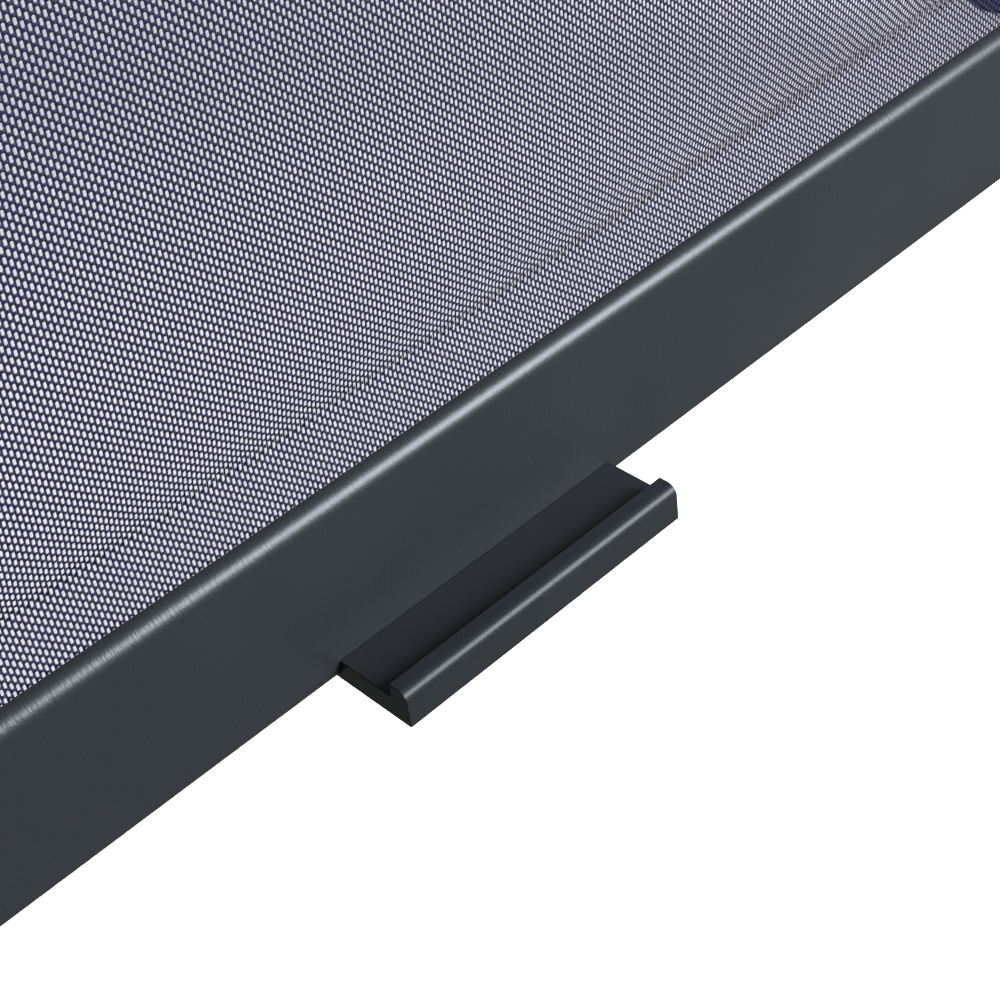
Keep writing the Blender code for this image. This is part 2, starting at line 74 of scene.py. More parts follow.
class Value:
    """A number, colour or vector on its way through a material's nodes. Arithmetic adds Math nodes."""

    def __init__(self, tree, socket):
        self.tree = tree
        self.socket = socket

    def node(self, kind, settings, sockets, output=0):
        """Adds a node: its settings first, then the values or links of its sockets."""
        made = self.tree.nodes.new(kind)
        for name, setting in settings.items():
            if name == "stops":
                ramp = made.color_ramp.elements
                while len(ramp) < len(setting):
                    ramp.new(0.5)
                for stop, (position, colour) in zip(ramp, setting):
                    stop.position = position
                    stop.color = (*colour, 1)
            else:
                setattr(made, name, setting)
        for name, value in sockets.items():
            if isinstance(value, Value):
                self.tree.links.new(value.socket, made.inputs[name])
            else:
                made.inputs[name].default_value = value
        return Value(self.tree, made.outputs[output])

    def math(self, operation, other=0.0):
        return self.node("ShaderNodeMath", {"operation": operation}, {0: self, 1: other})

    def __add__(self, other):
        return self.math("ADD", other)

    def __mul__(self, other):
        return self.math("MULTIPLY", other)

    __radd__ = __add__
    __rmul__ = __mul__

    def axis(self, letter):
        """One coordinate of a place."""
        return self.node("ShaderNodeSeparateXYZ", {}, {0: self}, output=letter)

    def noise(self, scale, detail=2.0, roughness=0.5):
        """Noise over the piece; scale is in features a metre."""
        sockets = {"Vector": self, "Scale": scale, "Detail": detail, "Roughness": roughness}
        return self.node("ShaderNodeTexNoise", {"noise_dimensions": "3D"}, sockets)

    def ramp(self, low, high):
        """0 below low, 1 above high, smooth between."""
        sockets = {"Value": self, "From Min": low, "From Max": high}
        return self.node("ShaderNodeMapRange", {"interpolation_type": "SMOOTHSTEP"}, sockets)

    def between(self, first, second):
        """This value as the mix of two colours."""
        sockets = {0: self, 6: first, 7: second}
        return self.node("ShaderNodeMix", {"data_type": "RGBA"}, sockets, output=2)

    def bump(self, strength, distance):
        """This value as a relief."""
        sockets = {"Height": self, "Strength": strength, "Distance": distance}
        return self.node("ShaderNodeBump", {}, sockets)


def new_finish(name, **fixed):
    """A material with its fixed shader values, its shader, and the place on the piece in metres."""
    material = bpy.data.materials.new(name)
    material.use_nodes = True
    tree = material.node_tree
    shader = tree.nodes["Principled BSDF"]
    for socket, value in fixed.items():
        shader.inputs[socket.replace("_", " ")].default_value = value
    return material, shader, Value(tree, tree.nodes.new("ShaderNodeTexCoord").outputs["Object"])


def feed(shader, **links):
    """Links values to the shader's sockets."""
    for socket, value in links.items():
        value.tree.links.new(value.socket, shader.inputs[socket.replace("_", " ")])


def powder_coat(name, gloss, sheen, peel_depth, drawn=(1, 1, 1)):
    """Matte charcoal powder: an orange peel, drawn out where drawn is low, a finer grain and a cloud."""
    material, shader, place = new_finish(name, Specular_IOR_Level=gloss)
    cloud = place.noise(11, 3)
    stretched = place.node("ShaderNodeVectorMath", {"operation": "MULTIPLY"}, {0: place, 1: drawn})
    peel = stretched.noise(1500, 2)
    grain = place.noise(3200, 1)
    shade = (cloud * 0.6 + grain * 0.4).ramp(0.3, 0.7)
    colour = shade.between((0.0118, 0.0138, 0.0153, 1), (0.0160, 0.0184, 0.0199, 1))
    roughness = sheen + 0.05 * cloud + 0.08 * grain
    relief = (0.7 * peel + 0.3 * grain).bump(1.0, peel_depth)
    feed(shader, Base_Color=colour, Roughness=roughness, Normal=relief)
    return material


def arc(centre, radius, start, end, steps):
    """Points of an arc in a section, angles in degrees."""
    points = []
    for i in range(steps + 1):
        angle = math.radians(start + (end - start) * i / steps)
        points.append((centre[0] + radius * math.cos(angle), centre[1] + radius * math.sin(angle)))
    return points


def prism(bm, section, end_of):
    """A section of (height, y) points swept along X; end_of(height) is half its length there."""
    ends = [[bm.verts.new((side * end_of(z), y, z)) for z, y in section] for side in (-1, 1)]
    for i in range(len(section)):
        j = (i + 1) % len(section)
        bm.faces.new((ends[0][i], ends[0][j], ends[1][j], ends[1][i]))
    bm.faces.new(ends[0])
    bm.faces.new(ends[1])


def turned(bm, base, axis, outline, sides):
    """A solid of revolution from (distance, radius) steps, closed by its two end discs."""
    turn = Vector(axis).to_track_quat("Z", "Y").to_matrix()
    rings = []
    for distance, radius in outline:
        ring = []
        for i in range(sides):
            angle = 2 * math.pi * i / sides
            local = Vector((radius * math.cos(angle), radius * math.sin(angle), distance))
            ring.append(bm.verts.new(Vector(base) + turn @ local))
        rings.append(ring)
    for lower, upper in zip(rings, rings[1:]):
        for i in range(sides):
            j = (i + 1) % sides
            bm.faces.new((lower[i], lower[j], upper[j], upper[i]))
    bm.faces.new(rings[0])
    bm.faces.new(rings[-1])


def linked(name, bm):
    """An object from a bmesh, with its faces turned out."""
    bmesh.ops.recalc_face_normals(bm, faces=bm.faces)
    mesh = bpy.data.meshes.new(name)
    bm.to_mesh(mesh)
    bm.free()
    obj = bpy.data.objects.new(name, mesh)
    bpy.context.scene.collection.objects.link(obj)
    return obj


def baked(obj):
    """The object with its modifiers run into a plain mesh."""
    graph = bpy.context.evaluated_depsgraph_get()
    mesh = bpy.data.meshes.new_from_object(obj.evaluated_get(graph), depsgraph=graph)
    obj.modifiers.clear()
    obj.data = mesh
    return obj


def cut(obj, bm):
    """Takes a shape out of the object."""
    cutter = linked("cutter", bm)
    tool = obj.modifiers.new("cut", "BOOLEAN")
    tool.operation = "DIFFERENCE"
    tool.solver = "EXACT"
    tool.object = cutter
    baked(obj)
    bpy.data.objects.remove(cutter)


def finished(obj, material, edge, slot, *nodes, steps=2):
    """Softens the hard edges, gives the finish and stands the piece in for its CAD nodes."""
    obj.data.shade_smooth()
    obj.data.set_sharp_from_angle(angle=math.radians(35))
    if edge:
        bevel = obj.modifiers.new("soft_edges", "BEVEL")
        bevel.width = edge
        bevel.segments = steps
        bevel.limit_method = "ANGLE"
        bevel.angle_limit = math.radians(40)
        bevel.use_clamp_overlap = True
    weight = obj.modifiers.new("flat_faces", "WEIGHTED_NORMAL")
    weight.keep_sharp = True
    baked(obj)
    obj.data.materials.clear()
    obj.data.materials.append(material)
    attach(obj, "root")
    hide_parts(*nodes)
    return obj


def rail_section(steps=12):
    """The pressed section as (height from the outer wall, y) points."""
    outer, inner, back = EDGE_RADIUS, INNER_RADIUS, BACK_RADIUS
    points = [(BACK_RETURN, BACK_Y)]
    points += arc((back, BACK_Y - back), back, 90, 180, steps // 2)
    points += arc((outer, FACE_Y + outer), outer, 180, 270, steps)
    points += arc((FACE_WIDTH - inner, FACE_Y + inner), inner, 270, 360, steps)
    points += [(FACE_WIDTH, FACE_Y + INNER_WALL), (FACE_WIDTH - SHEET, FACE_Y + INNER_WALL)]
    points += arc((FACE_WIDTH - inner, FACE_Y + inner), inner - SHEET, 360, 270, steps)
    points += arc((outer, FACE_Y + outer), outer - SHEET, 270, 180, steps)
    points += arc((back, BACK_Y - back), back - SHEET, 180, 90, 3)
    points += [(BACK_RETURN, BACK_Y - SHEET)]
    return points


RAIL_COAT = powder_coat("rail_coat", 0.34, 0.33, 0.10 * MM, drawn=(1, 0.25, 0.25))
STILE_COAT = powder_coat("stile_coat", 0.34, 0.33, 0.10 * MM, drawn=(0.25, 0.25, 1))
SCREW_NODES = sorted(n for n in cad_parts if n.startswith(("clamp_screw", "corner_screw")))
screw_places = [(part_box(node)[0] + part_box(node)[1]) / 2 for node in SCREW_NODES]


def member_turn(node):
    """The turn and move that set a member, drawn lying on its outer wall, in its side of the frame."""
    middle = {
        "bottom_rail": (0, (0, 0, RAIL_Z)),
        "right_stile": (-90, (HALF_WIDTH, 0, MID_Z)),
        "top_rail": (180, (0, 0, TOP_Z)),
        "left_stile": (90, (-HALF_WIDTH, 0, MID_Z)),
    }
    angle, place = middle[node]
    return Matrix.Translation(place) @ Matrix.Rotation(math.radians(angle), 4, "Y")


def frame_member(node, half_length):
    """One member with the screw bosses welded inside its face."""
    bm = bmesh.new()
    prism(bm, rail_section(), lambda height: half_length - height - MITRE_GAP)
    turn = member_turn(node)
    inside = turn.inverted()
    for place in screw_places:
        local = inside @ place
        if 0 < local.z < FACE_WIDTH and abs(local.x) < half_length - local.z:
            base = (local.x, FACE_Y + SHEET, local.z)
            turned(bm, base, (0, 1, 0), [(0, BOSS_RADIUS), (BOSS_LENGTH, BOSS_RADIUS)], BOSS_SIDES)
    bm.transform(turn)
    return linked(node + "_section", bm)


rails = {}
for node in ("bottom_rail", "right_stile", "top_rail", "left_stile"):
    half = HALF_WIDTH if node in ("bottom_rail", "top_rail") else HALF_HEIGHT
    rails[node] = frame_member(node, half)

# ---------------------------------------------------------------------------------------------
# Pull handle. A thick extruded ledge whose tongue goes through a slot in the bottom rail's face and
# is screwed from below. Its underside hangs a little lower than the rail's, its lip turns up with a
# round outer edge, and its root is shaped to sit against the rail's round edge.

SLIP = 0.3 * MM
LEDGE_HEIGHT = 5.9 * MM
LIP_THICK = 5.7 * MM
LIP_RADIUS = 3 * MM
LIP_CHAMFER = 0.3 * MM
ROOT_FILLET = 0.7 * MM
ROOT_SLIP = 0.06 * MM
HANDLE_EDGE = 0.2 * MM
TONGUE_HALF = 40 * MM
TONGUE_LOW = SHEET + SLIP
TONGUE_HIGH = 5.1 * MM

handle_low, handle_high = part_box("pull_handle")
HANDLE_HALF = handle_high.x
LIP_HEIGHT = handle_high.z - RAIL_Z
HANDLE_DROP = RAIL_Z - handle_low.z
HANDLE_TIP = handle_low.y
TONGUE_END = handle_high.y


def handle_section():
    """Ledge, raised lip and rounded root as (height, y) points."""
    root = EDGE_RADIUS + ROOT_SLIP
    inner = HANDLE_TIP + LIP_THICK
    low_angle = 90 - math.degrees(math.asin(EDGE_RADIUS / root))
    points = [(LEDGE_HEIGHT, FACE_Y - ROOT_SLIP)]
    points += arc((LEDGE_HEIGHT + ROOT_FILLET, inner + ROOT_FILLET), ROOT_FILLET, 180, 270, 5)
    points += [(LIP_HEIGHT, inner)]
    points += arc((LIP_HEIGHT - LIP_RADIUS, HANDLE_TIP + LIP_RADIUS), LIP_RADIUS, 0, -90, 14)
    points += [(LIP_CHAMFER - HANDLE_DROP, HANDLE_TIP), (-HANDLE_DROP, HANDLE_TIP + LIP_CHAMFER)]
    follow = arc((EDGE_RADIUS, FACE_Y + EDGE_RADIUS), root, 180 + low_angle, 270, 8)
    return points + [(-HANDLE_DROP, follow[0][1])] + follow


bm = bmesh.new()
prism(bm, handle_section(), lambda height: HANDLE_HALF)
bm.transform(Matrix.Translation((0, 0, RAIL_Z)))
handle = linked("pull_handle_bar", bm)

bm = bmesh.new()
slot = [(SHEET, FACE_Y - SHEET), (TONGUE_HIGH + SLIP, FACE_Y - SHEET)]
slot += [(TONGUE_HIGH + SLIP, FACE_Y + 3 * SHEET), (SHEET, FACE_Y + 3 * SHEET)]
prism(bm, slot, lambda height: TONGUE_HALF + SLIP)
bm.transform(Matrix.Translation((0, 0, RAIL_Z)))
cut(rails["bottom_rail"], bm)

bm = bmesh.new()
tongue = [(TONGUE_LOW, HANDLE_TIP + 2 * LIP_THICK), (TONGUE_HIGH, HANDLE_TIP + 2 * LIP_THICK)]
tongue += [(TONGUE_HIGH, TONGUE_END), (TONGUE_LOW, TONGUE_END)]
prism(bm, tongue, lambda height: TONGUE_HALF)
bm.transform(Matrix.Translation((0, 0, RAIL_Z)))
tongue_piece = linked("tongue", bm)
join = handle.modifiers.new("tongue", "BOOLEAN")
join.operation = "UNION"
join.solver = "EXACT"
join.object = tongue_piece
baked(handle)
bpy.data.objects.remove(tongue_piece)

HANDLE_COAT = powder_coat("handle_coat", 0.12, 0.26, 0.04 * MM)
finished(handle, HANDLE_COAT, HANDLE_EDGE, "powder_coat", "pull_handle")

for node, rail in rails.items():
    finished(rail, STILE_COAT if "stile" in node else RAIL_COAT, RAIL_BEVEL, "powder_coat", node)

# ---------------------------------------------------------------------------------------------
# Gaskets. Black woven glass tape laid between the face and the mesh, so that the mesh doesn't
# rattle. The tape's weave shows only at its edges.


def glass_tape():
    """Black woven tape: two crossing sets of threads."""
    material, shader, place = new_finish("glass_tape", Roughness=0.9, Specular_IOR_Level=0.2)
    across = place.axis("X") * 5000
    up = place.axis("Z") * 5000
    weave = (across.math("SINE") * up.math("SINE")).ramp(-0.6, 0.6)
    colour = weave.between((0.008, 0.008, 0.008, 1), (0.028, 0.028, 0.027, 1))
    feed(shader, Base_Color=colour, Normal=weave.bump(0.6, 0.1 * MM))
    return material


TAPE = glass_tape()
for side in ("bottom", "right", "top", "left"):
    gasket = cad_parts["gasket_" + side]
    gasket.data.materials.clear()
    gasket.data.materials.append(TAPE)

# ---------------------------------------------------------------------------------------------
# Mesh. Fine black-coated steel net: flat strands run up the screen, tied by short links that
# alternate from column to column, which leaves tall slim openings. It is creased back beside the
# frame, where the clamp bars pull it tight, and settles forward again across the middle.

PITCH_X = 1.170 * MM  # from column to column
PITCH_Z = 2.140 * MM  # from opening to opening up a column
NET_THICK = 0.14 * MM
STRAND_WIDTH = 0.50 * MM
LINK_WAIST = 0.68 * MM
LINK_FOOT = 1.26 * MM
NET_DEPTH = 5.2 * MM
NET_TUCK = 6.5 * MM
CREASE_AT = 17 * MM
CREASE_BACK = 2.2 * MM
BELLY_FORWARD = 3.4 * MM
BELLY_EASE = 16 * MM
WANDER = 0.35 * MM
STRANDS_A_PIECE = 60
STRAND_STEPS = 56


def net_coat():
    """Thin black stoving paint on steel, with a slight blue cast."""
    material, shader, _ = new_finish("net_coat", Roughness=0.5, Specular_IOR_Level=0.25)
    shader.inputs["Base Color"].default_value = (0.016, 0.012, 0.044, 1)
    return material


class Tree:
    """A Geometry Nodes tree being built; sockets are passed as (node, output) or plain values."""

    def __init__(self, name, inputs):
        self.tree = bpy.data.node_groups.new(name, "GeometryNodeTree")
        face = self.tree.interface
        face.new_socket("Geometry", in_out="INPUT", socket_type="NodeSocketGeometry")
        face.new_socket("Geometry", in_out="OUTPUT", socket_type="NodeSocketGeometry")
        for label, kind in inputs:
            face.new_socket(label, in_out="INPUT", socket_type="NodeSocket" + kind)
        self.start = self.tree.nodes.new("NodeGroupInput")
        self.end = self.tree.nodes.new("NodeGroupOutput")

    def given(self, label):
        return self.start.outputs[label]

    def add(self, kind, settings, sockets, output=0):
        """Adds a node: its settings first, then its sockets; gives its output."""
        made = self.tree.nodes.new(kind)
        for name, setting in settings.items():
            setattr(made, name, setting)
        for name, value in sockets.items():
            if isinstance(value, bpy.types.NodeSocket):
                self.tree.links.new(value, made.inputs[name])
            else:
                made.inputs[name].default_value = value
        return made.outputs[output]

    def math(self, operation, first, second=0.0, third=0.0):
        sockets = {0: first, 1: second}
        if operation == "MULTIPLY_ADD":
            sockets[2] = third
        return self.add("ShaderNodeMath", {"operation": operation}, sockets)

    def axes(self, vector):
        split = self.add("ShaderNodeSeparateXYZ", {}, {0: vector}).node
        return split.outputs["X"], split.outputs["Y"], split.outputs["Z"]

    def vector(self, x, y, z):
        return self.add("ShaderNodeCombineXYZ", {}, {0: x, 1: y, 2: z})

    def moved(self, geometry, position):
        return self.add("GeometryNodeSetPosition", {}, {"Geometry": geometry, "Position": position})

    def close(self, geometry, material):
        """Realises what the tree made, gives it its finish and ends the tree."""
        whole = self.add("GeometryNodeRealizeInstances", {}, {0: geometry})
        named = self.add("GeometryNodeSetMaterial", {}, {"Geometry": whole, "Material": material})
        self.tree.links.new(named, self.end.inputs[0])
        return self.tree


def run_tree(obj, tree, **values):
    """Runs a tree on the object with its named inputs and leaves a plain mesh."""
    modifier = obj.modifiers.new(tree.name, "NODES")
    modifier.node_group = tree
    for item in tree.interface.items_tree:
        if item.in_out == "INPUT" and item.name.replace(" ", "_") in values:
            modifier[item.identifier] = values[item.name.replace(" ", "_")]
    return baked(obj)


def net_tree():
    """One breadth of the net: strands and links, bowed to the ripple."""
    sizes = "Left,Low,Height,Pitch X,Pitch Z,Strand,Thickness,Waist,Foot,Half Width,Mid Z,Half Height"
    ripple = "Depth,Crease At,Crease Back,Belly Forward,Belly Ease,Wander"
    inputs = [(label, "Float") for label in (sizes + "," + ripple).split(",")]
    inputs += [(label, "Int") for label in ("First", "Columns", "Rows", "Steps")]
    net = Tree("net_breadth", inputs + [("Finish", "Material")])
    get = net.given
    half_pitch = net.math("MULTIPLY", get("Pitch X"), 0.5)
    index = net.add("GeometryNodeInputIndex", {}, {})

    def three_sided(steps, length):
        sockets = {"Vertices": 3, "Side Segments": steps, "Radius": 1.0, "Depth": length}
        return net.add("GeometryNodeMeshCylinder", {"fill_type": "NGON"}, sockets)

    def set_out(count, column, x_shift, z):
        """Points at whole columns counted from the left of the net."""
        x = net.math("MULTIPLY_ADD", column, get("Pitch X"), get("Left"))
        place = net.vector(net.math("ADD", x, x_shift), 0.0, z)
        return net.add("GeometryNodePoints", {}, {"Count": count, "Position": place})

    # a strand: three-sided, ridge to the front, its rings closer together towards its ends
    x, y, z = net.axes(net.add("GeometryNodeInputPosition", {}, {}))
    front = net.math("MULTIPLY", net.math("SUBTRACT", 0.25, x), net.math("DIVIDE", get("Thickness"), 1.5))
    side = net.math("MULTIPLY", y, net.math("DIVIDE", get("Strand"), math.sqrt(3)))
    half_height = net.math("MULTIPLY", get("Height"), 0.5)
    turn = net.math("MULTIPLY", net.math("DIVIDE", z, half_height), math.pi / 2)
    along = net.math("MULTIPLY", net.math("SINE", turn), half_height)
    strand = net.moved(three_sided(get("Steps"), get("Height")), net.vector(side, front, along))
    middle = net.math("MULTIPLY_ADD", get("Height"), 0.5, get("Low"))
    column = net.math("ADD", index, get("First"))
    rows_of_strands = set_out(get("Columns"), column, 0.0, middle)
    strands = net.add("GeometryNodeInstanceOnPoints", {}, {"Points": rows_of_strands, "Instance": strand})

    # a link: three-sided, lying across, wide at its feet and slim at its waist
    spread = net.math("DIVIDE", net.math("ABSOLUTE", z), half_pitch)
    flare = net.math("SUBTRACT", get("Foot"), get("Waist"))
    height = net.math("MULTIPLY_ADD", flare, spread, get("Waist"))
    up = net.math("MULTIPLY", y, net.math("DIVIDE", height, -math.sqrt(3)))
    reach = net.math("MULTIPLY", get("Pitch X"), 0.94)
    link = net.moved(three_sided(2, reach), net.vector(z, front, up))
    row = net.math("MODULO", index, get("Rows"))
    column = net.math("ADD", net.math("FLOOR", net.math("DIVIDE", index, get("Rows"))), get("First"))
    stagger = net.math("MULTIPLY", net.math("MODULO", column, 2.0), 0.5)
    level = net.math("MULTIPLY_ADD", net.math("ADD", row, stagger), get("Pitch Z"), get("Low"))
    count = net.math("MULTIPLY", get("Columns"), get("Rows"))
    rows_of_links = set_out(count, column, half_pitch, level)
    links = net.add("GeometryNodeInstanceOnPoints", {}, {"Points": rows_of_links, "Instance": link})

    both = net.add("GeometryNodeJoinGeometry", {}, {0: strands})
    net.tree.links.new(links, both.node.inputs[0])
    whole = net.add("GeometryNodeRealizeInstances", {}, {0: both})

    # the bow: creased back beside the frame, forward across the middle, with a slow wander
    x, y, z = net.axes(net.add("GeometryNodeInputPosition", {}, {}))
    from_side = net.math("SUBTRACT", get("Half Width"), net.math("ABSOLUTE", x))
    height = net.math("ABSOLUTE", net.math("SUBTRACT", z, get("Mid Z")))
    from_end = net.math("SUBTRACT", get("Half Height"), height)
    inset = net.math("MAXIMUM", net.math("MINIMUM", from_side, from_end), 0.0)
    near = net.math("MINIMUM", net.math("DIVIDE", inset, get("Crease At")), 1.0)
    past = net.math("MAXIMUM", net.math("SUBTRACT", inset, get("Crease At")), 0.0)
    ease = net.math("EXPONENT", net.math("DIVIDE", net.math("MULTIPLY", past, -1.0), get("Belly Ease")))
    total = net.math("ADD", get("Crease Back"), get("Belly Forward"))
    forward = net.math("MULTIPLY", net.math("SUBTRACT", 1.0, ease), total)
    noise_at = {"Vector": net.vector(x, 0.0, z), "Scale": 14.0, "Detail": 1.0}
    noise = net.add("ShaderNodeTexNoise", {"noise_dimensions": "3D"}, noise_at)
    wander = net.math("MULTIPLY", net.math("SUBTRACT", noise, 0.5), get("Wander"))
    back = net.math("MULTIPLY", near, net.math("ADD", wander, get("Crease Back")))
    depth = net.math("ADD", get("Depth"), net.math("SUBTRACT", back, forward))
    bowed = net.moved(whole, net.vector(x, net.math("ADD", y, depth), z))
    smooth = net.add("GeometryNodeSetShadeSmooth", {}, {"Geometry": bowed})
    return net.close(smooth, get("Finish"))


NET = net_coat()
net_breadth = net_tree()
open_half_width = HALF_WIDTH - FACE_WIDTH
open_half_height = HALF_HEIGHT - FACE_WIDTH
net_left = -(open_half_width + NET_TUCK)
net_low = MID_Z - open_half_height - NET_TUCK
net_height = 2 * (open_half_height + NET_TUCK)
net_columns = round(-2 * net_left / PITCH_X)
for number, first in enumerate(range(0, net_columns, STRANDS_A_PIECE), 1):
    breadth = bpy.data.objects.new(f"net_breadth_{number}", bpy.data.meshes.new("net_breadth"))
    bpy.context.scene.collection.objects.link(breadth)
    run_tree(
        breadth, net_breadth, Left=net_left, Low=net_low, Height=net_height, Pitch_X=PITCH_X,
        Pitch_Z=PITCH_Z, Strand=STRAND_WIDTH, Thickness=NET_THICK, Waist=LINK_WAIST, Foot=LINK_FOOT,
        Half_Width=open_half_width, Mid_Z=MID_Z, Half_Height=open_half_height, Depth=FACE_Y + NET_DEPTH,
        Crease_At=CREASE_AT, Crease_Back=CREASE_BACK, Belly_Forward=BELLY_FORWARD, Belly_Ease=BELLY_EASE,
        Wander=WANDER, First=first, Columns=min(STRANDS_A_PIECE, net_columns - first),
        Rows=int(net_height / PITCH_Z), Steps=STRAND_STEPS, Finish=NET,
    )
    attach(breadth, "root")
    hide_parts("mesh_panel")

# ---------------------------------------------------------------------------------------------
# Clamp bars. Flat steel bars, mitred and drilled, that press the mesh forward against its gaskets.
# They have the frame's powder coat and softly broken edges.

FLAT_ANGLE = math.radians(1)
MERGE_WITHIN = 0.005 * MM
BAR_EDGE = 0.4 * MM
COAT = powder_coat("bar_coat", 0.3, 0.37, 0.08 * MM)


def dressed(node, name, material, edge, slot):
    """A CAD node's own shape, merged into clean faces, with its edges broken."""
    bm = bmesh.new()
    bm.from_mesh(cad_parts[node].data)
    bmesh.ops.remove_doubles(bm, verts=bm.verts, dist=MERGE_WITHIN)
    bmesh.ops.dissolve_limit(bm, angle_limit=FLAT_ANGLE, verts=bm.verts, edges=bm.edges)
    return finished(linked(name, bm), material, edge, slot, node)


for side in ("bottom", "right", "top", "left"):
    dressed("clamp_bar_" + side, "clamp_bar_flat_" + side, COAT, BAR_EDGE, "powder_coat")

# ---------------------------------------------------------------------------------------------
# Corner plates. Zinc-plated L plates that tie the mitred members together from behind, each with
# one screw in either arm.

PLATE_EDGE = 0.35 * MM

def zinc_plate():
    """Clear-passivated zinc: a fine grain and a cloudy bloom between faint straw and faint blue."""
    material, shader, place = new_finish("zinc_plate", Metallic=0.9)
    cloud = place.noise(60, 3)
    grain = place.noise(1800, 2)
    colour = cloud.ramp(0.35, 0.65).between((0.42, 0.44, 0.47, 1), (0.50, 0.48, 0.43, 1))
    feed(shader, Base_Color=colour, Roughness=0.26 + 0.22 * cloud, Normal=grain.bump(0.25, 0.02 * MM))
    return material


ZINC = zinc_plate()
for corner in ("lower_left", "lower_right", "upper_left", "upper_right"):
    dressed("corner_plate_" + corner, "corner_tie_" + corner, ZINC, PLATE_EDGE, "zinc")

# ---------------------------------------------------------------------------------------------
# Pan-head screws. Zinc-plated, cross recessed, driven from behind into the bosses: fourteen hold the
# clamp bars and eight the corner plates.

PAN_RADIUS = 4 * MM
PAN_THICK = 2.6 * MM
PAN_SHANK = 2 * MM
RECESS_WIDTH = 0.9 * MM
RECESS_REACH = 2.1 * MM
RECESS_DEPTH = 1.5 * MM
TIP_TAPER = 0.4 * MM
HEAD_RIM = 0.3 * MM
screw_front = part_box(SCREW_NODES[0])[0].y
screw_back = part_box(SCREW_NODES[0])[1].y


def pan_screw():
    """One screw along +Y from its tip at the origin, with a domed head and a cross recess."""
    length = screw_back - screw_front
    seat = length - PAN_THICK
    outline = [(0, PAN_SHANK * 0.8), (TIP_TAPER, PAN_SHANK), (seat, PAN_SHANK), (seat, PAN_RADIUS * 0.96)]
    for step in range(9):
        angle = math.radians(10 * step)
        rise = HEAD_RIM + (PAN_THICK - HEAD_RIM) * math.sin(angle)
        outline.append((seat + rise, PAN_RADIUS * math.cos(angle)))
    bm = bmesh.new()
    turned(bm, (0, 0, 0), (0, 1, 0), outline, 28)
    screw = linked("pan_screw", bm)
    bm = bmesh.new()
    for turn in (0, math.pi / 2):
        size = Matrix.Diagonal((2 * RECESS_REACH, 2 * RECESS_DEPTH, RECESS_WIDTH, 1))
        place = Matrix.Translation((0, length, 0)) @ Matrix.Rotation(turn, 4, "Y") @ size
        bmesh.ops.create_cube(bm, size=1, matrix=place)
        cut(screw, bm)
        bm = bmesh.new()
    bm.free()
    return screw


def seating_tree():
    """A fastener set at every point of a mesh, each turned a little differently."""
    inputs = [("Fastener", "Object"), ("Turn Axis", "Vector"), ("Finish", "Material")]
    seat = Tree("seated_fasteners", inputs)
    sockets = {"Object": seat.given("Fastener")}
    fastener = seat.add("GeometryNodeObjectInfo", {}, sockets, output="Geometry")
    sockets = {2: 0.0, 3: 2 * math.pi, "Seed": 4}
    turn = seat.add("FunctionNodeRandomValue", {"data_type": "FLOAT"}, sockets, output=1)
    sockets = {0: seat.given("Turn Axis"), "Scale": turn}
    axis = seat.add("ShaderNodeVectorMath", {"operation": "SCALE"}, sockets)
    sockets = {"Points": seat.given("Geometry"), "Instance": fastener, "Rotation": axis}
    return seat.close(seat.add("GeometryNodeInstanceOnPoints", {}, sockets), seat.given("Finish"))


def seated(name, fastener, places, axis, nodes):
    """Zinc-plated copies of a fastener at their places, as one piece that stands for its CAD nodes."""
    mesh = bpy.data.meshes.new(name)
    mesh.from_pydata([tuple(place) for place in places], [], [])
    obj = bpy.data.objects.new(name, mesh)
    bpy.context.scene.collection.objects.link(obj)
    run_tree(obj, fastener_tree, Fastener=fastener, Turn_Axis=axis, Finish=ZINC)
    bpy.data.objects.remove(fastener)
    finished(obj, ZINC, 0, "zinc", *nodes)


fastener_tree = seating_tree()
pan_places = [Vector((place.x, screw_front, place.z)) for place in screw_places]
seated("pan_head_screws", pan_screw(), pan_places, (0, 1, 0), SCREW_NODES)

# ---------------------------------------------------------------------------------------------
# Feet. Flat steel bars across the screen, round ended, bolted up through a spacer block into a
# tapped plate inside the bottom rail. Bars and blocks have the frame's powder coat.

FOOT_EDGE = 0.9 * MM
BLOCK_EDGE = 0.6 * MM
BOLT_SPREAD = 10 * MM
BOLT_Y = FACE_Y + 11 * MM
BOLT_RECESS = 4.2 * MM
BOLT_HEAD_RADIUS = 5 * MM


def round_ended(low, high, steps=24):
    """A bar's outline with round ends, as (x, y) points."""
    half_width = (high.x - low.x) / 2
    middle = (low + high) / 2
    points = []
    for sign, start in ((1, 0), (-1, 180)):
        for i in range(steps + 1):
            angle = math.radians(start + 180 * i / steps)
            y = sign * (high.y - middle.y - half_width) + half_width * math.sin(angle)
            points.append((middle.x + half_width * math.cos(angle), middle.y + y))
    return points


